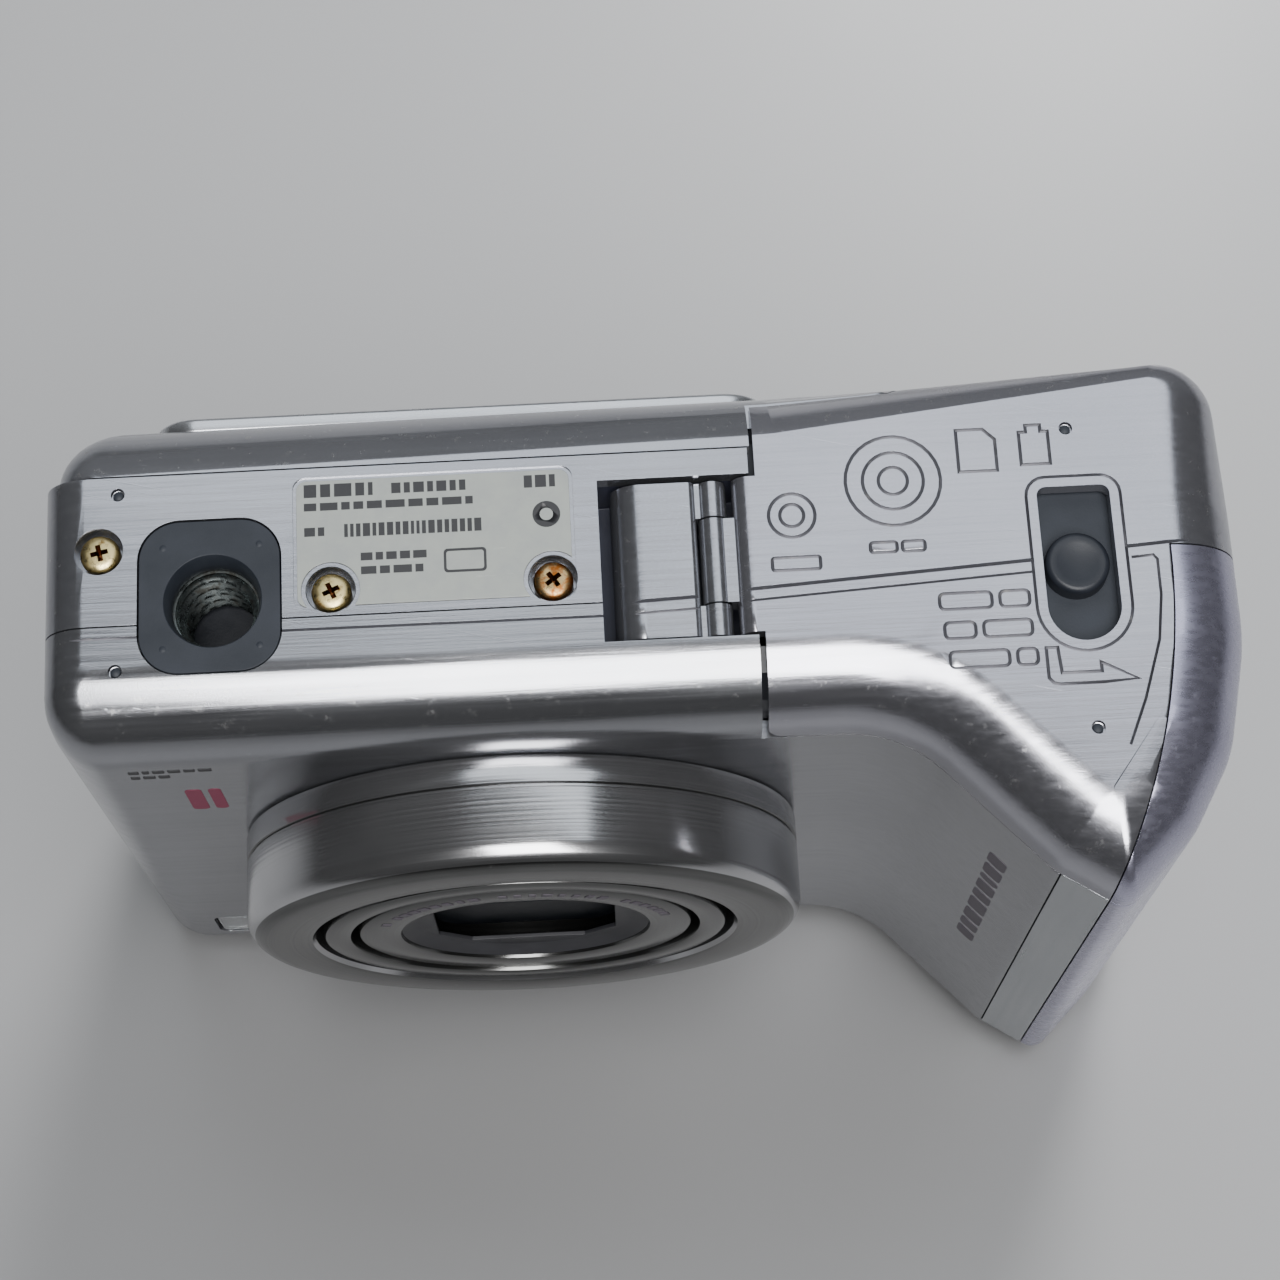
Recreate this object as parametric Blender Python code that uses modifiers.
"""Compact digital camera, modelled piece by piece and lying on its top cover.

Frame: +Z points out of the camera's base, -Y out of the lens, +X to the grip side. The
origin is under the middle of the camera, on the plane that its top cover rests on.
All the sizes below are millimetres; MM turns them into metres when a mesh is made.
"""
import math

import bmesh
import bpy
from mathutils import Matrix, Vector

MM = 0.001
GAP = 0.3
HALF_GAP = GAP / 2

# Overall size and the planes that everything else is measured from.
WIDTH = 90.4
DEPTH = 43.2
HEIGHT = 64.0
LEFT = -WIDTH / 2
RIGHT = WIDTH / 2
FRONT_NOSE = -DEPTH / 2
SCREEN_FACE = DEPTH / 2
FRONT_FACE = -7.3
REAR_FACE = 20.2
WALL = 1.4
REAR_STEP = 0.9

# Rounding of the long edges.
BASE_EDGE = 6.0
LEFT_EDGE = 2.5
REAR_EDGE_NARROW = 2.6
TOP_EDGE = 4.0
EDGE_STEPS = 5
CORNER_STEPS = 3

# Parting lines between the covers.
FRONT_SEAM = 1.95
REAR_SEAM = 13.95
DOOR_SEAM_X = 8.5
DOOR_SEAM_Z = 58.0
TRIM_SEAM_Y = 4.45
TRIM_ARC_RADIUS = 55.3
TRIM_ARC_X = 39.4
TOP_SEAM_INSET = 4.3
STRIP_LEFT = 29.7
REAR_DOOR_STEP_Z = 61.8
REAR_DOOR_STEP_X = 19.6
REAR_DOOR_STEP_RUN = 3.4

# Lens: a fixed ring on the front cover and two barrels that slide out of it.
LENS_X = -10.8
LENS_Z = 35.0
RING_RADIUS = 22.6
RING_BORE = 17.1
RING_FRONT = -16.2
RING_EDGE = 2.0
OUTER_BARREL = (14.2, 16.4)
INNER_BARREL = (12.7, 13.6)
BARREL_BACK = 8.0
WINDOW_RADIUS = 10.1
SHUTTER_WINDOW = (14.7, 13.8)
BLADE_THICKNESS = 0.5
HOUSING = (17.0, 18.6)
HOUSING_DEPTH = (-5.4, 11.8)

# Battery and card door with its hinge, at the grip end of the base.
HINGE_X = 5.4
HINGE_Z = 62.4
KNUCKLE_RADIUS = 1.1
PIN_RADIUS = 0.45
PIN_BORE = 0.75
WELL_X = (-3.2, 8.35)
WELL_Y = (-1.1, 11.8)
ARM_Y = (-0.8, 11.5)
DOOR_KNUCKLE_Y = (1.8, 8.6)
LATCH_SLOT_X = (29.8, 35.3)
LATCH_SLOT_Y = (-2.8, 9.5)
LATCH_KNOB = (32.4, 3.4)
LATCH_KNOB_RADIUS = 2.45

# Base fittings.
TRIPOD = (-32.2, 3.7)
TRIPOD_PLATE_X = (-38.0, -26.85)
TRIPOD_PLATE_Y = (-2.2, 10.4)
TRIPOD_BORE = 3.17
TRIPOD_COUNTERSINK = 3.65
SCREWS = ((-40.7, 8.0), (-23.4, 4.1), (-6.8, 4.15))
SCREW_HEAD = 1.5
SCREW_WELL = 1.85
LABEL_X = (-26.2, -5.0)
LABEL_Y = (2.5, 13.2)

# Controls on the top cover and on the rear cover.
SHUTTER = (29.6, -5.4)
SHUTTER_RADIUS = 5.8
ZOOM_RING = (6.1, 8.5)
DIAL = (8.0, 6.4)
DIAL_RADIUS = 7.6
POWER = (20.3, 6.0)
POWER_RADIUS = 2.6
PAD = (31.0, 33.0)
PAD_RADII = (4.6, 9.5)
SET_RADIUS = 4.2
MENU = (24.0, 49.5)
DISPLAY = (37.0, 49.5)
PILL_BUTTON = (7.0, 3.6)
PRINT = (17.2, 14.5)
PRINT_RADIUS = 2.2
PLAY_SWITCH = (32.0, 12.5)
PLAY_SLOT = (11.0, 4.6)
PLAY_TRAVEL = 3.0

# Windows in the front cover and the screen in the rear cover.
FLASH_X = (-40.0, -28.0)
FLASH_Z = (4.8, 10.4)
FINDER_X = (-6.0, 1.0)
FINDER_Z = (4.6, 10.4)
FOCUS_LAMP = (-18.0, 7.5)
FOCUS_LAMP_RADIUS = 1.7
SCREEN_X = (-38.0, 10.5)
SCREEN_Z = (12.0, 57.0)
SCREEN_BORDER = 4.0

# Power cells, card and side terminals.
CELL_RADIUS = 7.05
CELL_Z = (7.2, 57.7)
CELL_X = 33.6
CELL_Y = (-9.5, 5.6)
CARD_X = (19.6, 21.7)
CARD_Y = (-6.9, 17.1)
CARD_Z = (24.0, 56.0)
TERMINAL_Y = (3.6, 12.0)
TERMINAL_Z = (22.0, 44.0)
TERMINAL_HINGE = (-44.9, 11.7)
LUG_Y = (7.0, 12.0)
LUG_Z = (10.0, 17.0)


# ---------------------------------------------------------------------------------------
# Scene, materials and small mesh tools
# ---------------------------------------------------------------------------------------

def clear_scene():
    for old in list(bpy.data.objects):
        bpy.data.objects.remove(old, do_unlink=True)


def new_collection(name):
    collection = bpy.data.collections.new(name)
    bpy.context.scene.collection.children.link(collection)
    return collection


def make_material(name, colour, metallic, roughness):
    material = bpy.data.materials.new(name)
    material.use_nodes = True
    shader = material.node_tree.nodes["Principled BSDF"]
    shader.inputs["Base Color"].default_value = (*colour, 1.0)
    shader.inputs["Metallic"].default_value = metallic
    shader.inputs["Roughness"].default_value = roughness
    material.diffuse_color = (*colour, 1.0)
    return material


def link_object(name, mesh, origin, material):
    """Wrap a mesh given in world metres in an object whose origin lies at `origin` (mm)."""
    place = Vector(origin) * MM
    mesh.transform(Matrix.Translation(-place))
    item = bpy.data.objects.new(name, mesh)
    item.location = place
    if material is None:
        item.hide_render = True
        item.display_type = "WIRE"
        CUTTERS.objects.link(item)
    else:
        mesh.materials.append(material)
        PARTS.objects.link(item)
    return item


def from_bmesh(name, bm, material=None, origin=(0, 0, 0)):
    """Turn a bmesh in millimetres into a part, or into a cutter when it has no material."""
    bmesh.ops.scale(bm, vec=(MM, MM, MM), verts=bm.verts)
    bmesh.ops.recalc_face_normals(bm, faces=bm.faces)
    mesh = bpy.data.meshes.new(name)
    bm.to_mesh(mesh)
    bm.free()
    return link_object(name, mesh, origin, material)


def shade_round(item):
    item.data.shade_smooth()
    item.data.set_sharp_from_angle(angle=math.radians(32))


def add_box(name, x, y, z, material=None, origin=(0, 0, 0), bevel=0.0):
    """A box between the low and high values of x, y and z, with its edges bevelled."""
    bm = bmesh.new()
    size = Matrix.Diagonal((x[1] - x[0], y[1] - y[0], z[1] - z[0], 1.0))
    middle = Vector(((x[0] + x[1]) / 2, (y[0] + y[1]) / 2, (z[0] + z[1]) / 2))
    bmesh.ops.create_cube(bm, size=1.0, matrix=Matrix.Translation(middle) @ size)
    item = from_bmesh(name, bm, material, origin)
    if bevel:
        add_bevel(item, bevel, 2)
    return item


def add_bevel(item, width, segments):
    bevel = item.modifiers.new("edges", "BEVEL")
    bevel.width = width * MM
    bevel.segments = segments
    bevel.limit_method = "ANGLE"


def add_rod(name, axis, centre, radius, reach, material=None, origin=(0, 0, 0), sides=32):
    """A round rod along X, Y or Z. `centre` holds the other two coordinates in order."""
    bm = bmesh.new()
    middle = (reach[0] + reach[1]) / 2
    if axis == "Z":
        turn = Matrix.Identity(4)
        place = Vector((centre[0], centre[1], middle))
    elif axis == "Y":
        turn = Matrix.Rotation(math.radians(90), 4, "X")
        place = Vector((centre[0], middle, centre[1]))
    else:
        turn = Matrix.Rotation(math.radians(90), 4, "Y")
        place = Vector((middle, centre[0], centre[1]))
    bmesh.ops.create_cone(
        bm, cap_ends=True, segments=sides, radius1=radius, radius2=radius,
        depth=reach[1] - reach[0], matrix=Matrix.Translation(place) @ turn)
    item = from_bmesh(name, bm, material, origin)
    shade_round(item)
    return item


def add_prism(name, outline, facing, reach, material=None, origin=(0, 0, 0)):
    """Extrude a flat outline. Facing Z takes (x, y) points and facing Y takes (x, z)."""
    curve = bpy.data.curves.new(name, "CURVE")
    curve.dimensions = "2D"
    curve.fill_mode = "BOTH"
    curve.extrude = (reach[1] - reach[0]) / 2 * MM
    spline = curve.splines.new("POLY")
    spline.points.add(len(outline) - 1)
    for point, (across, along) in zip(spline.points, outline):
        point.co = (across * MM, along * MM, 0.0, 1.0)
    spline.use_cyclic_u = True
    guide = bpy.data.objects.new(name + "_guide", curve)
    PARTS.objects.link(guide)
    middle = (reach[0] + reach[1]) / 2 * MM
    if facing == "Z":
        place = Matrix.Translation((0, 0, middle))
    else:
        place = Matrix.Translation((0, middle, 0)) @ Matrix.Rotation(math.radians(90), 4, "X")
    bpy.context.view_layer.update()
    graph = bpy.context.evaluated_depsgraph_get()
    mesh = bpy.data.meshes.new_from_object(guide.evaluated_get(graph))
    bpy.data.objects.remove(guide, do_unlink=True)
    bpy.data.curves.remove(curve)
    mesh.materials.clear()
    bm = bmesh.new()
    bm.from_mesh(mesh)
    bmesh.ops.remove_doubles(bm, verts=bm.verts, dist=0.00001)
    bmesh.ops.transform(bm, matrix=place, verts=bm.verts)
    bmesh.ops.recalc_face_normals(bm, faces=bm.faces)
    bm.to_mesh(mesh)
    bm.free()
    mesh.name = name
    return link_object(name, mesh, origin, material)


def add_turned(name, profile, centre, material, steps=48, closed=True):
    """Turn a profile of (radius, forward) points about a lens axis along -Y."""
    bm = bmesh.new()
    points = [bm.verts.new((radius * MM, 0.0, forward * MM)) for radius, forward in profile]
    for first, second in zip(points, points[1:]):
        bm.edges.new((first, second))
    if closed:
        bm.edges.new((points[-1], points[0]))
    mesh = bpy.data.meshes.new(name)
    bm.to_mesh(mesh)
    bm.free()
    mesh.materials.append(material)
    item = bpy.data.objects.new(name, mesh)
    item.location = (centre[0] * MM, 0.0, centre[1] * MM)
    item.rotation_euler = (math.radians(90), 0.0, 0.0)
    PARTS.objects.link(item)
    screw = item.modifiers.new("turn", "SCREW")
    screw.steps = steps
    screw.render_steps = steps
    screw.use_merge_vertices = True
    screw.merge_threshold = 0.00001
    screw.use_smooth_shade = False
    return item


def carve(target, *cutters, operation="DIFFERENCE"):
    for cutter in cutters:
        boolean = target.modifiers.new(cutter.name, "BOOLEAN")
        boolean.operation = operation
        boolean.solver = "EXACT"
        boolean.object = cutter


def arc_points(centre, radius, start, end, steps):
    """Points of an arc between two angles in degrees."""
    points = []
    for step in range(steps + 1):
        angle = math.radians(start + (end - start) * step / steps)
        points.append((centre[0] + radius * math.cos(angle), centre[1] + radius * math.sin(angle)))
    return points


def rounded_rectangle(first, second, radius, steps=4):
    """Outline between two ranges with all four corners rounded."""
    points = []
    corners = ((first[1], second[1], 0), (first[0], second[1], 90),
               (first[0], second[0], 180), (first[1], second[0], 270))
    for across, along, turn in corners:
        toward_x = 1 if across == first[1] else -1
        toward_y = 1 if along == second[1] else -1
        centre = (across - toward_x * radius, along - toward_y * radius)
        points += arc_points(centre, radius, turn, turn + 90, steps)
    return points


# ---------------------------------------------------------------------------------------
# The camera's outer form
# ---------------------------------------------------------------------------------------

def body_corners(left):
    """Plan corners, counterclockwise: x, y, corner radius, base rounding before and after."""
    return (
        (left, REAR_FACE, 3.6, BASE_EDGE, LEFT_EDGE),
        (left, FRONT_FACE, 3.6, LEFT_EDGE, BASE_EDGE),
        (18.7, FRONT_FACE, 10.0, BASE_EDGE, BASE_EDGE),
        (29.3, -18.7, 3.0, BASE_EDGE, BASE_EDGE),
        (34.4, FRONT_NOSE - 0.4, 1.5, BASE_EDGE, BASE_EDGE),
        (39.9, -16.6, 8.0, BASE_EDGE, BASE_EDGE),
        (43.3, -10.7, 10.0, BASE_EDGE, BASE_EDGE),
        (RIGHT, -2.0, 20.0, BASE_EDGE, BASE_EDGE),
        (RIGHT, 8.0, 6.0, BASE_EDGE, BASE_EDGE),
        (RIGHT - 0.6, REAR_FACE, 3.4, BASE_EDGE, REAR_EDGE_NARROW),
        (10.0, REAR_FACE, 4.0, BASE_EDGE, BASE_EDGE),
    )


def fillet(before, corner, after, radius, steps):
    """Round one corner of an outline with `steps` + 1 points."""
    inward = (corner - before).normalized()
    outward = (after - corner).normalized()
    turn = math.atan2(inward.x * outward.y - inward.y * outward.x, inward.dot(outward))
    reach = max(radius * math.tan(abs(turn) / 2), 0.12)
    start = corner - inward * reach
    end = corner + outward * reach
    if abs(turn) < math.radians(2):
        return [start.lerp(end, step / steps) for step in range(steps + 1)]
    true_radius = reach / math.tan(abs(turn) / 2)
    side = Vector((-inward.y, inward.x)) * (1 if turn > 0 else -1)
    centre = start + side * true_radius
    points = []
    for step in range(steps + 1):
        spoke = start - centre
        spoke.rotate(Matrix.Rotation(turn * step / steps, 2))
        points.append(centre + spoke)
    return points


def body_outline(insets, left=LEFT, steps=CORNER_STEPS):
    """Plan outline with the side before and after each corner moved in by `insets`."""
    corners = body_corners(left)
    count = len(corners)
    lines = []
    for index in range(count):
        start = Vector(corners[index][:2])
        end = Vector(corners[(index + 1) % count][:2])
        along = (end - start).normalized()
        inward = Vector((-along.y, along.x))
        lines.append((start + inward * insets[index][1],
                      end + inward * insets[(index + 1) % count][0]))
    moved = []
    for index in range(count):
        before = lines[index - 1]
        after = lines[index]
        run_in = before[1] - before[0]
        run_out = after[1] - after[0]
        cross = run_in.x * run_out.y - run_in.y * run_out.x
        if abs(cross) < 0.001 * run_in.length * run_out.length:
            moved.append(before[1])
            continue
        gap = after[0] - before[0]
        share = (gap.x * run_out.y - gap.y * run_out.x) / cross
        moved.append(before[0] + run_in * share)
    outline = []
    for index in range(count):
        run_in = moved[index] - moved[index - 1]
        run_out = moved[(index + 1) % count] - moved[index]
        convex = run_in.x * run_out.y - run_in.y * run_out.x > 0
        mean_inset = sum(insets[index]) / 2
        radius = corners[index][2] + (-mean_inset if convex else mean_inset)
        outline += fillet(moved[index - 1], moved[index], moved[(index + 1) % count],
                          max(radius, 0.5), steps)
    return outline


def round_inset(radius, drop):
    """How far a rounded edge has come in, `drop` away from the flat face it runs into."""
    rise = max(radius - drop, 0.0)
    return radius - math.sqrt(max(radius * radius - rise * rise, 0.0))


def level_insets(inset, base_drop, top_drop):
    """Insets of every corner at one height of a solid that lies `inset` inside the body."""
    insets = []
    for corner in body_corners(LEFT):
        pair = []
        for edge in corner[3:]:
            base = round_inset(max(edge - inset, 0.0), base_drop)
            top = round_inset(max(TOP_EDGE - inset, 0.0), top_drop)
            pair.append(inset + base + top)
        insets.append(tuple(pair))
    return insets


def body_levels(inset, steps):
    """Heights of the sections, closer together round the two long edges."""
    levels = []
    for edge, flip in ((TOP_EDGE, False), (BASE_EDGE, True)):
        radius = max(edge - inset, 0.0)
        drops = [radius * (1 - math.sin(math.radians(90 * step / steps))) for step in range(steps + 1)]
        heights = [HEIGHT - inset - drop if flip else inset + drop for drop in drops]
        levels += heights if flip else sorted(heights)
    return levels


def add_body(name, inset=0.0, left=LEFT, steps=EDGE_STEPS, material=None):
    """Loft the camera's outer form, or the same form `inset` inside it."""
    bm = bmesh.new()
    rings = []
    for height in body_levels(inset, steps):
        insets = level_insets(inset, HEIGHT - inset - height, height - inset)
        outline = body_outline(insets, left)
        rings.append([bm.verts.new((point.x, point.y, height)) for point in outline])
    for lower, upper in zip(rings, rings[1:]):
        for index in range(len(lower)):
            following = (index + 1) % len(lower)
            bm.faces.new((lower[index], lower[following], upper[following], upper[index]))
    bm.faces.new(list(reversed(rings[0])))
    bm.faces.new(rings[-1])
    item = from_bmesh(name, bm, material)
    shade_round(item)
    return item


def trim_outline(shift):
    """Plan region outside the curved seam of the grip's side, moved by `shift` outwards."""
    centre = (TRIM_ARC_X - TRIM_ARC_RADIUS, TRIM_SEAM_Y)
    arc = arc_points(centre, TRIM_ARC_RADIUS + shift, -31.0, 0.0, 10)
    edge = TRIM_SEAM_Y - shift
    arc[-1] = (arc[-1][0], edge)
    return arc + [(RIGHT + 5.0, edge), (RIGHT + 5.0, arc[0][1])]


def door_rear_outline(shift):
    """Rear view of the space behind the door: low step near the hinge, then down."""
    top = REAR_DOOR_STEP_Z + shift
    seam = DOOR_SEAM_Z + shift
    corner = REAR_DOOR_STEP_X + shift
    return [(corner, top), (corner + REAR_DOOR_STEP_RUN, seam), (RIGHT + 5.0, seam),
            (RIGHT + 5.0, HEIGHT + 5.0), (DOOR_SEAM_X + shift, HEIGHT + 5.0),
            (DOOR_SEAM_X + shift, top)]


# ---------------------------------------------------------------------------------------
# Cutters shared by several covers
# ---------------------------------------------------------------------------------------

def make_cutters():
    far = 60.0
    all_x = (-far, far)
    all_y = (-far, far)
    all_z = (-far, 2 * far)
    cut = {}
    cut["cavity"] = add_body("cut_cavity", WALL, steps=3)
    cut["rear_cavity"] = add_body("cut_rear_cavity", WALL, left=LEFT + REAR_STEP, steps=3)
    cut["behind_front"] = add_box("cut_behind_front", all_x, (FRONT_SEAM - HALF_GAP, far), all_z)
    cut["before_middle"] = add_box("cut_before_middle", all_x, (-far, FRONT_SEAM + HALF_GAP), all_z)
    cut["behind_middle"] = add_box("cut_behind_middle", all_x, (REAR_SEAM - HALF_GAP, far), all_z)
    cut["grip_side"] = add_box("cut_grip_side", (DOOR_SEAM_X - HALF_GAP, far), all_y, all_z)
    cut["before_rear"] = add_box(
        "cut_before_rear", (-far, 25.0), (-far, REAR_SEAM + HALF_GAP), all_z)
    cut["before_rear_side"] = add_box(
        "cut_before_rear_side", (24.0, far), (-far, TRIM_SEAM_Y + HALF_GAP), all_z)
    cut["door_space"] = add_box(
        "cut_door_space", (DOOR_SEAM_X - HALF_GAP, far), all_y, (DOOR_SEAM_Z - HALF_GAP, all_z[1]))
    cut["door_rear_space"] = add_prism(
        "cut_door_rear_space", door_rear_outline(-HALF_GAP), "Y", all_y)
    cut["not_door_x"] = add_box("cut_not_door_x", (-far, DOOR_SEAM_X + HALF_GAP), all_y, all_z)
    cut["not_door_z"] = add_box("cut_not_door_z", all_x, all_y, (-far, DOOR_SEAM_Z + HALF_GAP))
    step_edge = REAR_DOOR_STEP_X + HALF_GAP
    cut["door_rear_step"] = add_prism(
        "cut_door_rear_step",
        [(0.0, REAR_DOOR_STEP_Z + HALF_GAP), (0.0, 50.0), (step_edge + 8.0, 50.0),
         (step_edge + REAR_DOOR_STEP_RUN, DOOR_SEAM_Z + HALF_GAP),
         (step_edge, REAR_DOOR_STEP_Z + HALF_GAP)],
        "Y", (REAR_SEAM - HALF_GAP, far))
    cut["trim_side"] = add_prism("cut_trim_side", trim_outline(-HALF_GAP), "Z", all_z)
    cut["trim_only"] = add_prism("cut_trim_only", trim_outline(HALF_GAP), "Z", all_z)
    top_insets = [(TOP_SEAM_INSET - HALF_GAP,) * 2] * len(body_corners(LEFT))
    cut["top_opening"] = add_prism(
        "cut_top_opening", [tuple(point) for point in body_outline(top_insets)], "Z", (-5.0, WALL + 1.0))
    cut["hinge_well_left"] = add_box(
        "cut_hinge_well_left", (WELL_X[0], DOOR_SEAM_X), WELL_Y, (DOOR_SEAM_Z - 2.0, all_z[1]))
    cut["tripod"] = add_prism(
        "cut_tripod", rounded_rectangle(TRIPOD_PLATE_X, TRIPOD_PLATE_Y, 3.5), "Z",
        (HEIGHT - 6.0, HEIGHT + 5.0))
    cut["label"] = add_prism(
        "cut_label", rounded_rectangle(LABEL_X, LABEL_Y, 1.0, 2), "Z", (HEIGHT - 0.6, HEIGHT + 5.0))
    cut["strip"] = add_box(
        "cut_strip", (STRIP_LEFT - HALF_GAP, far), (-far, -14.0), (2.6, DOOR_SEAM_Z + 1.0))
    cut["zoom_ring"] = add_rod(
        "cut_zoom_ring", "Z", SHUTTER, ZOOM_RING[1] + GAP, (-5.0, 4.7), sides=40)
    for number, (across, along) in enumerate(SCREWS, start=1):
        cut["screw_%d" % number] = add_rod(
            "cut_screw_%d" % number, "Z", (across, along), SCREW_WELL, (HEIGHT - 5, HEIGHT + 5), sides=24)
    return cut


# ---------------------------------------------------------------------------------------
# Covers
# ---------------------------------------------------------------------------------------

def make_front_cover(cut, material):
    cover = add_body("front_cover", material=material)
    lens_hole = add_rod("cut_lens_hole", "Y", (LENS_X, LENS_Z), RING_BORE + GAP, (-20, 5), sides=48)
    flash_hole = add_box("cut_flash_hole", FLASH_X, (-20, 0), FLASH_Z)
    finder_hole = add_box("cut_finder_hole", FINDER_X, (-20, 0), FINDER_Z)
    lamp_hole = add_rod("cut_lamp_hole", "Y", FOCUS_LAMP, FOCUS_LAMP_RADIUS + GAP, (-20, 0), sides=20)
    carve(cover, cut["cavity"], cut["behind_front"], cut["door_space"], cut["trim_side"], cut["strip"],
          cut["top_opening"], cut["hinge_well_left"], cut["tripod"], cut["zoom_ring"],
          lens_hole, flash_hole, finder_hole, lamp_hole)
    return cover


def make_middle_frame(cut, material):
    frame = add_body("middle_frame", material=material)
    terminal_hole = add_box(
        "cut_terminal_hole", (LEFT - 5, LEFT + 5),
        (TERMINAL_Y[0] - GAP, TERMINAL_Y[1] + 0.8), (TERMINAL_Z[0] - GAP, TERMINAL_Z[1] + GAP))
    carve(frame, cut["cavity"], cut["before_middle"], cut["behind_middle"], cut["grip_side"],
          cut["top_opening"], cut["hinge_well_left"], cut["tripod"], cut["label"], terminal_hole,
          cut["screw_1"], cut["screw_2"], cut["screw_3"])
    return frame


def make_rear_cover(cut, material):
    cover = add_body("rear_cover", left=LEFT + REAR_STEP, material=material)
    reach = (10.0, 40.0)
    screen_hole = add_box(
        "cut_screen_hole", (SCREEN_X[0] + 1.5, SCREEN_X[1] - 1.7), reach,
        (SCREEN_Z[0] + 1.5, SCREEN_Z[1] - 1.5))
    eyepiece_hole = add_box(
        "cut_eyepiece_hole", (FINDER_X[0] + 0.7, FINDER_X[1] - 0.2), reach,
        (FINDER_Z[0] - GAP, FINDER_Z[1] + 0.1))
    pad_hole = add_rod("cut_pad_hole", "Y", PAD, PAD_RADII[1] + GAP, reach, sides=40)
    print_hole = add_rod("cut_print_hole", "Y", PRINT, PRINT_RADIUS + GAP, reach, sides=24)
    menu_hole = add_pill("cut_menu_hole", MENU, PILL_BUTTON, GAP, reach)
    display_hole = add_pill("cut_display_hole", DISPLAY, PILL_BUTTON, GAP, reach)
    play_hole = add_pill("cut_play_hole", PLAY_SWITCH, PLAY_SLOT, 0.0, reach)
    lug_hole = add_box("cut_lug_hole", (40.0, RIGHT + 5), LUG_Y, LUG_Z)
    carve(cover, cut["rear_cavity"], cut["before_rear"], cut["before_rear_side"], cut["door_rear_space"],
          cut["top_opening"], screen_hole, eyepiece_hole, pad_hole, print_hole, menu_hole,
          display_hole, play_hole, lug_hole)
    return cover


def add_pill(name, centre, size, grow, reach, material=None, origin=(0, 0, 0)):
    """A rounded button or slot on the rear face, longer along X than along Z."""
    across = (centre[0] - size[0] / 2 - grow, centre[0] + size[0] / 2 + grow)
    along = (centre[1] - size[1] / 2 - grow, centre[1] + size[1] / 2 + grow)
    outline = rounded_rectangle(across, along, size[1] / 2 + grow - 0.01, 5)
    return add_prism(name, outline, "Y", reach, material, origin)


def make_top_cover(material):
    insets = [(TOP_SEAM_INSET + HALF_GAP,) * 2] * len(body_corners(LEFT))
    outline = [tuple(point) for point in body_outline(insets)]
    cover = add_prism("top_cover", outline, "Z", (0.0, WALL), material)
    reach = (-5.0, 5.0)
    carve(cover,
          add_rod("cut_zoom_hole", "Z", SHUTTER, ZOOM_RING[1] + GAP, reach, sides=40),
          add_rod("cut_dial_hole", "Z", DIAL, DIAL_RADIUS + GAP, reach, sides=40),
          add_rod("cut_power_hole", "Z", POWER, POWER_RADIUS + GAP, reach, sides=24))
    return cover


def make_side_panel(cut, material):
    panel = add_body("side_panel", material=material)
    keep = add_prism("keep_side_panel", trim_outline(HALF_GAP), "Z", (-5.0, DOOR_SEAM_Z - HALF_GAP))
    carve(panel, cut["cavity"], cut["top_opening"], cut["zoom_ring"])
    carve(panel, keep, operation="INTERSECT")
    return panel


def make_grip_strip(cut, material):
    strip = add_body("grip_strip", material=material)
    keep = add_box("keep_grip_strip", (STRIP_LEFT + HALF_GAP, 40.0), (-30.0, -14.3),
                   (2.9, DOOR_SEAM_Z - HALF_GAP))
    carve(strip, cut["cavity"], cut["trim_side"])
    carve(strip, keep, operation="INTERSECT")
    return strip


def make_battery_door(cut, material):
    """The door's shell, joined to the web and the knuckle that turn on the hinge pin."""
    door = add_body("battery_door", material=material)
    place_origin(door, (HINGE_X, 0.0, HINGE_Z))
    web_y = (WELL_Y[0] + GAP, WELL_Y[1] - GAP)
    lip = add_box("join_door_lip", (HINGE_X + 1.5, DOOR_SEAM_X + 3.0), web_y,
                  (HEIGHT - WALL, HEIGHT))
    web = add_box("join_door_web", (HINGE_X + 0.2, DOOR_SEAM_X + 3.0), DOOR_KNUCKLE_Y,
                  (HINGE_Z - KNUCKLE_RADIUS, HINGE_Z + 0.9))
    knuckle = add_rod("join_door_knuckle", "Y", (HINGE_X, HINGE_Z), KNUCKLE_RADIUS,
                      DOOR_KNUCKLE_Y, sides=20)
    bore = add_rod("cut_door_pin", "Y", (HINGE_X, HINGE_Z), PIN_BORE, (-5.0, 20.0), sides=16)
    slot = add_prism("cut_latch_slot", latch_slot_outline(0.0), "Z", (HEIGHT - 4.0, HEIGHT + 5.0))
    carve(door, cut["cavity"], cut["not_door_x"], cut["not_door_z"], cut["door_rear_step"],
          cut["trim_side"])
    carve(door, lip, web, knuckle, operation="UNION")
    carve(door, bore, slot)
    return door


def place_origin(item, origin):
    """Move an object's origin without moving its mesh."""
    place = Vector(origin) * MM
    item.data.transform(Matrix.Translation(-place))
    item.location = place


def latch_slot_outline(grow):
    """Slot for the latch: a half round at the front and two small corners at the rear."""
    left, right = LATCH_SLOT_X[0] - grow, LATCH_SLOT_X[1] + grow
    radius = (right - left) / 2
    front = LATCH_SLOT_Y[0] - grow + radius
    rear = LATCH_SLOT_Y[1] + grow
    outline = arc_points(((left + right) / 2, front), radius, 180, 360, 10)
    outline += arc_points((right - 0.6, rear - 0.6), 0.6, 0, 90, 2)
    outline += arc_points((left + 0.6, rear - 0.6), 0.6, 90, 180, 2)
    return outline


def make_door_side_trim(cut, material):
    trim = add_body("door_side_trim", material=material)
    place_origin(trim, (HINGE_X, 0.0, HINGE_Z))
    keep = add_prism("keep_door_side_trim", trim_outline(HALF_GAP), "Z",
                     (DOOR_SEAM_Z + HALF_GAP, HEIGHT + 5.0))
    carve(trim, cut["cavity"])
    carve(trim, keep, operation="INTERSECT")
    return trim


# ---------------------------------------------------------------------------------------
# Door hinge and latch
# ---------------------------------------------------------------------------------------

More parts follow.
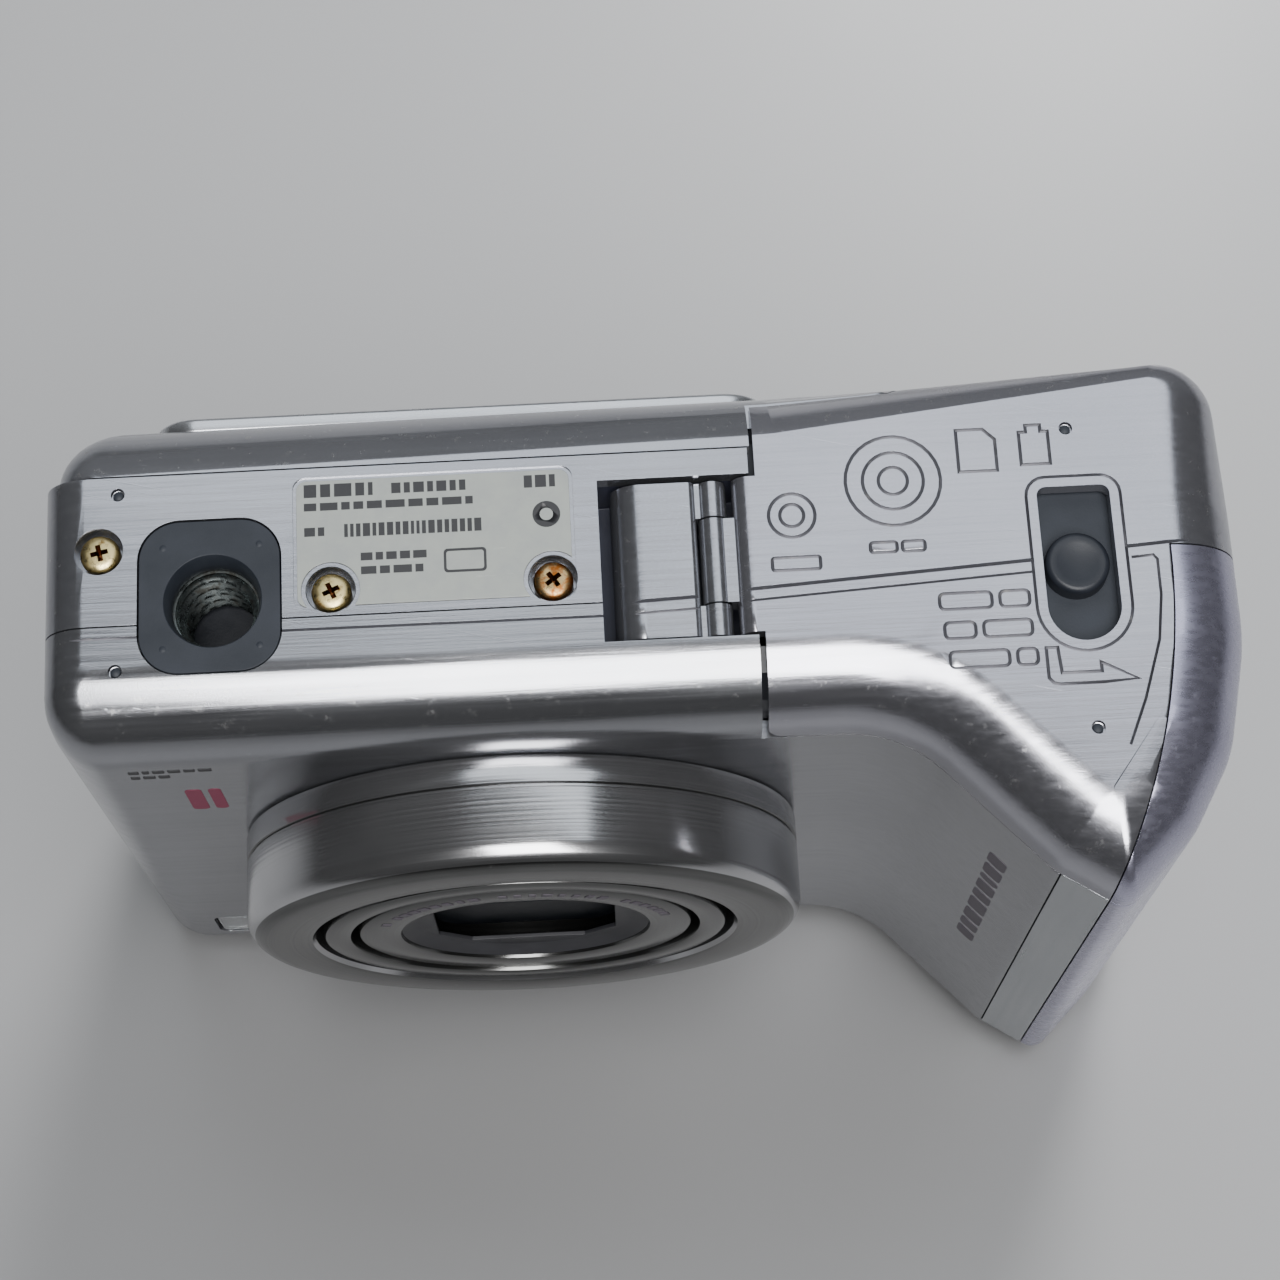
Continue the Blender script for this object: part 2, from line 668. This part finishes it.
def make_hinge_arm(material):
    """The sliding link of the door: a plate that curls down into the well at its far end."""
    top = HINGE_Z + KNUCKLE_RADIUS
    outline = [(-2.6, 59.2), (-1.2, 59.2), (-0.9, 60.4), (0.2, 61.3), (3.7, 61.3), (3.7, top)]
    outline += arc_points((0.3, top - 3.0), 3.0, 90, 165, 4)
    arm = add_prism("hinge_arm", outline, "Y", ARM_Y, material, (HINGE_X, 0.0, HINGE_Z))
    ends = ((ARM_Y[0], DOOR_KNUCKLE_Y[0] - GAP), (DOOR_KNUCKLE_Y[1] + GAP, ARM_Y[1]))
    for side, reach in zip(("front", "rear"), ends):
        knuckle = add_rod("join_arm_knuckle_" + side, "Y", (HINGE_X, HINGE_Z), KNUCKLE_RADIUS,
                          reach, sides=20)
        web = add_box("join_arm_web_" + side, (3.0, HINGE_X), reach,
                      (HINGE_Z - KNUCKLE_RADIUS + 0.1, HINGE_Z + KNUCKLE_RADIUS - 0.1))
        carve(arm, web, knuckle, operation="UNION")
    bore = add_rod("cut_arm_pin", "Y", (HINGE_X, HINGE_Z), PIN_BORE, (-5.0, 20.0), sides=16)
    carve(arm, bore)
    return arm


def make_hinge_well(material):
    """A tray below the opening in the base. Its grip end is open for the door's knuckle."""
    floor = 57.9
    rim = HEIGHT - WALL - GAP
    tray = add_box("hinge_well", (WELL_X[0] - 1.1, WELL_X[1] - 0.6), (WELL_Y[0] - 1.1, WELL_Y[1] + 1.1),
                   (floor - 0.8, rim), material)
    hollow = add_box("cut_well_hollow", (WELL_X[0] - GAP, 20.0), (WELL_Y[0] - GAP, WELL_Y[1] + GAP),
                     (floor, rim + 5.0))
    carve(tray, hollow)
    return tray


def make_door_latch(material):
    """The latch: a plate that runs under the door and a round knob in the door's slot."""
    plate_top = HEIGHT - WALL - GAP
    knob = (LATCH_KNOB[0], LATCH_KNOB[1], plate_top)
    latch = add_box("door_latch", (28.6, 36.6), (-5.0, 12.3), (plate_top - 1.0, plate_top), material, knob)
    knob_rod = add_rod("join_latch_knob", "Z", LATCH_KNOB, LATCH_KNOB_RADIUS,
                       (plate_top - 0.4, HEIGHT), sides=28)
    carve(latch, knob_rod, operation="UNION")
    return latch


# ---------------------------------------------------------------------------------------
# Base fittings
# ---------------------------------------------------------------------------------------

def make_tripod_plate(material):
    across = (TRIPOD_PLATE_X[0] + GAP, TRIPOD_PLATE_X[1] - GAP)
    along = (TRIPOD_PLATE_Y[0] + GAP, TRIPOD_PLATE_Y[1] - GAP)
    plate = add_prism("tripod_plate", rounded_rectangle(across, along, 3.2), "Z",
                      (HEIGHT - 2.4, HEIGHT - 0.1), material)
    bm = bmesh.new()
    bmesh.ops.create_cone(
        bm, cap_ends=True, segments=28, radius1=TRIPOD_BORE, radius2=TRIPOD_COUNTERSINK + 0.5,
        depth=4.0, matrix=Matrix.Translation((TRIPOD[0], TRIPOD[1], HEIGHT - 1.0)))
    carve(plate, from_bmesh("cut_tripod_bore", bm))
    return plate


def make_tube(name, centre, radii, reach, material, sides=28):
    """A plain tube along Z."""
    tube = add_rod(name, "Z", centre, radii[1], reach, material, sides=sides)
    bore = add_rod("cut_bore_" + name, "Z", centre, radii[0], (reach[0] - 2, reach[1] + 2), sides=sides)
    carve(tube, bore)
    return tube


def make_screw(number, centre, material):
    """A countersunk base screw with a cross recess."""
    head = HEIGHT - 0.25
    screw = add_rod("base_screw_%d" % number, "Z", centre, SCREW_HEAD, (head - 0.9, head), material,
                    sides=20)
    shank = add_rod("join_shank_%d" % number, "Z", centre, 0.8, (HEIGHT - 6.0, head - 0.5), sides=12)
    carve(screw, shank, operation="UNION")
    for way, half in (("x", (0.9, 0.2)), ("y", (0.2, 0.9))):
        recess = add_box(
            "cut_recess_%s_%d" % (way, number), (centre[0] - half[0], centre[0] + half[0]),
            (centre[1] - half[1], centre[1] + half[1]), (head - 0.45, head + 1.0))
        carve(screw, recess)
    return screw


def make_label(material):
    across = (LABEL_X[0] + GAP, LABEL_X[1] - GAP)
    along = (LABEL_Y[0] + GAP, LABEL_Y[1] - GAP)
    label = add_prism("rating_label", rounded_rectangle(across, along, 0.8, 2), "Z",
                      (HEIGHT - 0.27, HEIGHT - 0.02), material)
    for number in (2, 3):
        notch = add_rod("cut_label_notch_%d" % number, "Z", SCREWS[number - 1], SCREW_WELL + 0.5,
                        (HEIGHT - 3, HEIGHT + 3), sides=24)
        carve(label, notch)
    return label


def make_base_chassis(material):
    """Pressed steel plate below the base, drilled for the screws and the tripod bush."""
    chassis = add_box("base_chassis", (-42.5, -5.0), (-4.2, 12.6), (60.2, 61.0), material)
    carve(chassis, add_rod("cut_chassis_bush", "Z", TRIPOD, 5.0, (50, 70), sides=24))
    for number, centre in enumerate(SCREWS, start=1):
        carve(chassis, add_rod("cut_chassis_screw_%d" % number, "Z", centre, 1.2, (50, 70), sides=12))
    return chassis


# ---------------------------------------------------------------------------------------
# Lens
# ---------------------------------------------------------------------------------------

def forward(y):
    """A world Y turned into the distance along the lens axis, which points to -Y."""
    return -y


def make_lens_ring(material):
    front = forward(RING_FRONT)
    back = forward(FRONT_FACE - GAP)
    edge = [(RING_RADIUS - RING_EDGE + x, front - RING_EDGE + y)
            for x, y in arc_points((0, 0), RING_EDGE, 90, 0, 4)]
    profile = [(RING_BORE, front - 0.5), (RING_BORE + 0.5, front)] + edge
    profile += [(RING_RADIUS, back), (RING_BORE, back)]
    return add_turned("lens_ring", profile, (LENS_X, LENS_Z), material, steps=56)


def make_outer_barrel(material):
    front = forward(RING_FRONT) - 0.2
    inner, outer = OUTER_BARREL
    profile = [(inner, front), (outer - 0.4, front), (outer, front - 0.4),
               (outer, forward(BARREL_BACK)), (inner, forward(BARREL_BACK))]
    return add_turned("outer_barrel", profile, (LENS_X, LENS_Z), material)


def make_inner_barrel(material):
    front = forward(RING_FRONT) - 0.4
    inner, outer = INNER_BARREL
    plate_back = front - 2.2
    profile = [(4.0, front - 1.4), (WINDOW_RADIUS - 0.6, front - 1.4), (WINDOW_RADIUS, front),
               (outer, front), (outer, forward(5.0)), (inner, forward(5.0)), (inner, plate_back),
               (4.0, plate_back)]
    barrel = add_turned("inner_barrel", profile, (LENS_X, LENS_Z), material)
    half_x, half_z = SHUTTER_WINDOW[0] / 2, SHUTTER_WINDOW[1] / 2
    window = add_prism(
        "cut_barrel_window",
        rounded_rectangle((LENS_X - half_x, LENS_X + half_x), (LENS_Z - half_z, LENS_Z + half_z), 3.0, 3),
        "Y", (-20.0, -10.0))
    carve(barrel, window)
    return barrel


def make_barrier_blades(material):
    """Two blades that close the window and slide apart along Z when the lens comes out."""
    back = RING_FRONT + 0.4 + 2.2 + GAP
    half = SHUTTER_WINDOW[0] / 2 + 0.25
    reach = SHUTTER_WINDOW[1] / 2 + 0.3
    outline = [(-half, HALF_GAP)] + [(half, HALF_GAP)]
    outline += arc_points((half - 3.0, reach - 3.0), 3.0, 0, 90, 3)
    outline += arc_points((3.0 - half, reach - 3.0), 3.0, 90, 180, 3)
    for name, side in (("base_side_blade", 1), ("top_side_blade", -1)):
        points = [(LENS_X + x, LENS_Z + side * z) for x, z in outline]
        add_prism(name, points, "Y", (back, back + BLADE_THICKNESS), material,
                  (LENS_X, back, LENS_Z))


def make_lens_element(name, radius, centre_y, bulge, edge, material):
    """A biconvex glass element."""
    middle = forward(centre_y)
    steps = 3
    front = [(radius * math.sin(math.radians(90 * s / steps)),
              middle + edge / 2 + bulge * math.cos(math.radians(90 * s / steps))) for s in range(steps + 1)]
    back = [(radius, 2 * middle - height) for radius, height in reversed(front)]
    return add_turned(name, front + back, (LENS_X, LENS_Z), material, steps=32, closed=False)


def make_lens_housing(material):
    inner, outer = HOUSING
    front, back = forward(HOUSING_DEPTH[0]), forward(HOUSING_DEPTH[1])
    profile = [(inner, front), (outer, front), (outer, back), (6.0, back), (6.0, back + 1.0),
               (inner, back + 1.0)]
    return add_turned("lens_housing", profile, (LENS_X, LENS_Z), material)


# ---------------------------------------------------------------------------------------
# Controls
# ---------------------------------------------------------------------------------------

def make_top_controls(materials):
    shutter = add_rod("shutter_button", "Z", SHUTTER, SHUTTER_RADIUS, (0.35, 3.2),
                      materials["satin_silver"], (*SHUTTER, 0.35), sides=36)
    ring = add_rod("zoom_lever", "Z", SHUTTER, ZOOM_RING[1], (0.3, 4.3),
                   materials["satin_silver"], (*SHUTTER, 0.3), sides=48)
    carve(ring, add_rod("cut_zoom_bore", "Z", SHUTTER, ZOOM_RING[0], (-5, 10), sides=36))
    dial = add_rod("mode_dial", "Z", DIAL, DIAL_RADIUS, (0.25, 3.4), materials["dark_plastic"],
                   (*DIAL, 0.25), sides=40)
    power = add_rod("power_button", "Z", POWER, POWER_RADIUS, (0.3, 2.8), materials["satin_silver"],
                    (*POWER, 0.3), sides=24)
    for item, width in ((shutter, 0.5), (dial, 0.35), (power, 0.3)):
        add_bevel(item, width, 1)


def make_rear_controls(materials):
    silver = materials["satin_silver"]
    face = 20.9
    back = 18.2
    pad = add_rod("direction_pad", "Y", PAD, PAD_RADII[1], (back + 0.6, face), silver,
                  (PAD[0], back + 0.9, PAD[1]), sides=40)
    add_bevel(pad, 0.4, 1)
    carve(pad, add_rod("cut_pad_bore", "Y", PAD, PAD_RADII[0], (10, 30), sides=32))
    gimbal = add_rod("pad_gimbal", "Y", PAD, 8.0, (back - 1.6, back - 0.6), materials["dark_plastic"],
                     (PAD[0], back + 0.9, PAD[1]), sides=32)
    carve(gimbal, add_rod("cut_gimbal_bore", "Y", PAD, PAD_RADII[0], (10, 30), sides=32))
    middle = add_rod("set_button", "Y", PAD, SET_RADIUS, (back - 1.0, face + 0.1), silver,
                     (PAD[0], face, PAD[1]), sides=32)
    add_bevel(middle, 0.3, 1)
    add_pill("menu_button", MENU, PILL_BUTTON, 0.0, (back, face), silver, (MENU[0], face, MENU[1]))
    add_pill("display_button", DISPLAY, PILL_BUTTON, 0.0, (back, face), silver,
             (DISPLAY[0], face, DISPLAY[1]))
    printing = add_rod("print_button", "Y", PRINT, PRINT_RADIUS, (back, face), silver,
                       (PRINT[0], face, PRINT[1]), sides=24)
    add_bevel(printing, 0.3, 1)
    knob = (PLAY_SLOT[0] - PLAY_TRAVEL - 1.2, PLAY_SLOT[1] - 2 * GAP)
    centre = (PLAY_SWITCH[0] - PLAY_TRAVEL / 2, PLAY_SWITCH[1])
    add_pill("playback_switch", centre, knob, 0.0, (back, face + 0.1), silver, (centre[0], face, centre[1]))


def make_terminal(materials):
    cover = add_box("terminal_cover", (LEFT, LEFT + 1.0), TERMINAL_Y, TERMINAL_Z,
                    materials["dark_plastic"], (*TERMINAL_HINGE, TERMINAL_Z[0]))
    add_bevel(cover, 0.25, 1)
    block = add_box("terminal_block", (-43.5, -38.4), (4.6, 12.4), (23.0, 43.0), materials["dark_plastic"])
    usb = add_box("cut_usb_socket", (-46.0, -40.5), (6.0, 9.2), (25.0, 32.5))
    jack = add_rod("cut_av_socket", "X", (7.9, 38.0), 1.8, (-46.0, -40.5), sides=16)
    carve(block, usb, jack)


def make_strap_lug(material):
    """A bracket in the side notch with a loop for the wrist strap."""
    lug = add_box("strap_lug", (41.7, 42.5), (LUG_Y[0] + GAP, LUG_Y[1] - GAP),
                  (LUG_Z[0] + GAP, LUG_Z[1] - GAP), material)
    middle = (LUG_Y[0] + LUG_Y[1]) / 2
    loop = add_box("join_lug_loop", (42.2, 44.8), (middle - 0.6, middle + 0.6),
                   (LUG_Z[0] + 0.6, LUG_Z[1] - 0.6))
    eye = add_box("cut_lug_eye", (42.6, 44.0), (middle - 3, middle + 3), (LUG_Z[0] + 1.5, LUG_Z[1] - 1.5))
    carve(lug, loop, operation="UNION")
    carve(lug, eye)
    return lug


# ---------------------------------------------------------------------------------------
# Windows, screen and the parts inside
# ---------------------------------------------------------------------------------------

def shrink(span, amount):
    return (span[0] + amount, span[1] - amount)


def make_windows(materials):
    glass = materials["clear_plastic"]
    add_box("flash_window", shrink(FLASH_X, GAP), (FRONT_FACE, FRONT_FACE + 1.0),
            shrink(FLASH_Z, GAP), glass)
    reflector = add_box("flash_reflector", shrink(FLASH_X, 0.2), (-5.4, -1.6), shrink(FLASH_Z, -0.4),
                        materials["bright_metal"])
    carve(reflector, add_rod("cut_reflector", "X", (-5.6, sum(FLASH_Z) / 2), 2.4,
                             shrink(FLASH_X, 1.2), sides=20))
    add_box("finder_window", shrink(FINDER_X, GAP), (FRONT_FACE, FRONT_FACE + 0.9),
            shrink(FINDER_Z, GAP), glass)
    tunnel = add_box("finder_tunnel", (-6.6, 1.6), (-5.5, 18.0), (4.0, 11.0), materials["dark_plastic"])
    carve(tunnel, add_box("cut_tunnel", (-5.6, 0.6), (-10, 25), (5.0, 10.0)))
    add_box("finder_eyepiece", (-5.0, 0.5), (18.4, 20.0), shrink(FINDER_Z, GAP), glass)
    add_rod("focus_lamp", "Y", FOCUS_LAMP, FOCUS_LAMP_RADIUS, (-7.4, -5.6), glass, sides=20)


def make_screen(materials):
    frame = add_prism("screen_frame", rounded_rectangle(SCREEN_X, SCREEN_Z, 3.5, 4), "Y",
                      (REAR_FACE + GAP, SCREEN_FACE), materials["satin_silver"])
    window_x, window_z = shrink(SCREEN_X, SCREEN_BORDER), shrink(SCREEN_Z, SCREEN_BORDER + 0.5)
    carve(frame, add_box("cut_screen_window", window_x, (0, 40), window_z))
    add_box("screen_window", shrink(window_x, GAP), (REAR_FACE + GAP, SCREEN_FACE - 0.4),
            shrink(window_z, GAP), materials["clear_plastic"])
    add_box("screen_panel", (-36.0, 8.2), (15.6, 19.8), (14.2, 54.8), materials["dark_plastic"])


def make_power_and_card(materials):
    holder = add_body("battery_holder", inset=2.0, steps=2, material=materials["dark_plastic"])
    keep = add_box("keep_holder", (24.2, 42.0), (-30, 13.8), (5.2, 57.0))
    hollow = add_box("cut_holder_hollow", (25.2, 50.0), (-40, 13.0), (6.4, 80.0))
    carve(holder, keep, operation="INTERSECT")
    carve(holder, hollow)
    for name, along in (("battery_front", CELL_Y[0]), ("battery_rear", CELL_Y[1])):
        cell = add_rod(name, "Z", (CELL_X, along), CELL_RADIUS, CELL_Z, materials["cell_sleeve"], sides=28)
        add_bevel(cell, 0.4, 1)
    add_box("door_contact", (28.0, 39.0), (-14.0, 9.6), (59.6, 60.2), materials["bright_metal"],
            (HINGE_X, 0.0, HINGE_Z))
    add_box("memory_card", CARD_X, CARD_Y, CARD_Z, materials["dark_plastic"])
    slot = add_box("card_slot", (18.3, 22.9), (-6.1, 17.2), (20.4, 55.6), materials["bright_metal"])
    carve(slot, add_box("cut_card_slot", (CARD_X[0] - GAP, 30.0), (-20, 30), (CARD_Z[0] - GAP, 70.0)))


def make_internals(materials):
    board = add_box("main_board", (-42.0, 17.0), (13.4, 14.4), (12.6, 60.6), materials["circuit_green"])
    carve(board, add_box("cut_board_corner", (8.0, 30.0), (0, 30), (0.0, 20.0)))
    add_box("image_sensor", (LENS_X - 5.0, LENS_X + 5.0), (12.1, 13.1), (LENS_Z - 4.2, LENS_Z + 4.2),
            materials["dark_plastic"])
    add_rod("flash_capacitor", "Z", (-36.6, -1.0), 4.2, (14.0, 47.0), materials["dark_plastic"], sides=24)
    add_rod("zoom_motor", "Y", (7.2, 19.5), 3.2, (-4.8, 8.0), materials["bright_metal"], sides=20)
    make_power_and_card(materials)


# ---------------------------------------------------------------------------------------
# The whole camera
# ---------------------------------------------------------------------------------------

def make_camera():
    materials = {
        "silver_paint": make_material("silver_paint", (0.52, 0.53, 0.56), 0.75, 0.34),
        "satin_silver": make_material("satin_silver", (0.60, 0.61, 0.63), 0.85, 0.28),
        "violet_paint": make_material("violet_paint", (0.27, 0.27, 0.36), 0.75, 0.36),
        "dark_plastic": make_material("dark_plastic", (0.055, 0.06, 0.068), 0.0, 0.42),
        "slate_plastic": make_material("slate_plastic", (0.07, 0.08, 0.088), 0.0, 0.5),
        "label_film": make_material("label_film", (0.45, 0.47, 0.45), 0.2, 0.4),
        "brass_plate": make_material("brass_plate", (0.55, 0.44, 0.22), 1.0, 0.3),
        "bright_metal": make_material("bright_metal", (0.75, 0.75, 0.76), 1.0, 0.18),
        "clear_plastic": make_material("clear_plastic", (0.03, 0.035, 0.045), 0.0, 0.06),
        "cell_sleeve": make_material("cell_sleeve", (0.08, 0.16, 0.30), 0.2, 0.35),
        "circuit_green": make_material("circuit_green", (0.03, 0.16, 0.07), 0.0, 0.45),
    }
    silver = materials["silver_paint"]
    cut = make_cutters()
    make_front_cover(cut, silver)
    make_middle_frame(cut, silver)
    make_rear_cover(cut, silver)
    make_top_cover(silver)
    make_side_panel(cut, materials["violet_paint"])
    make_grip_strip(cut, materials["satin_silver"])
    make_battery_door(cut, silver)
    make_door_side_trim(cut, materials["violet_paint"])
    make_hinge_arm(silver)
    make_hinge_well(materials["dark_plastic"])
    add_rod("hinge_pin", "Y", (HINGE_X, HINGE_Z), PIN_RADIUS, ARM_Y, materials["bright_metal"],
            (HINGE_X, 0.0, HINGE_Z), sides=12)
    make_door_latch(materials["slate_plastic"])
    make_tripod_plate(materials["slate_plastic"])
    make_tube("tripod_bush", TRIPOD, (TRIPOD_BORE, 4.6), (55.0, HEIGHT - 2.7), materials["bright_metal"])
    for number, centre in enumerate(SCREWS, start=1):
        make_screw(number, centre, materials["brass_plate"])
    make_label(materials["label_film"])
    make_base_chassis(materials["bright_metal"])
    make_lens_ring(materials["satin_silver"])
    make_outer_barrel(materials["satin_silver"])
    make_inner_barrel(materials["satin_silver"])
    make_barrier_blades(materials["dark_plastic"])
    make_lens_element("front_lens", 7.0, -9.0, 1.2, 1.6, materials["clear_plastic"])
    make_lens_element("rear_lens", 5.5, -1.0, 1.0, 1.6, materials["clear_plastic"])
    make_lens_housing(materials["dark_plastic"])
    make_top_controls(materials)
    make_rear_controls(materials)
    make_terminal(materials)
    make_strap_lug(materials["bright_metal"])
    make_windows(materials)
    make_screen(materials)
    make_internals(materials)


clear_scene()
PARTS = new_collection("compact_digital_camera")
CUTTERS = new_collection("cutters")
make_camera()
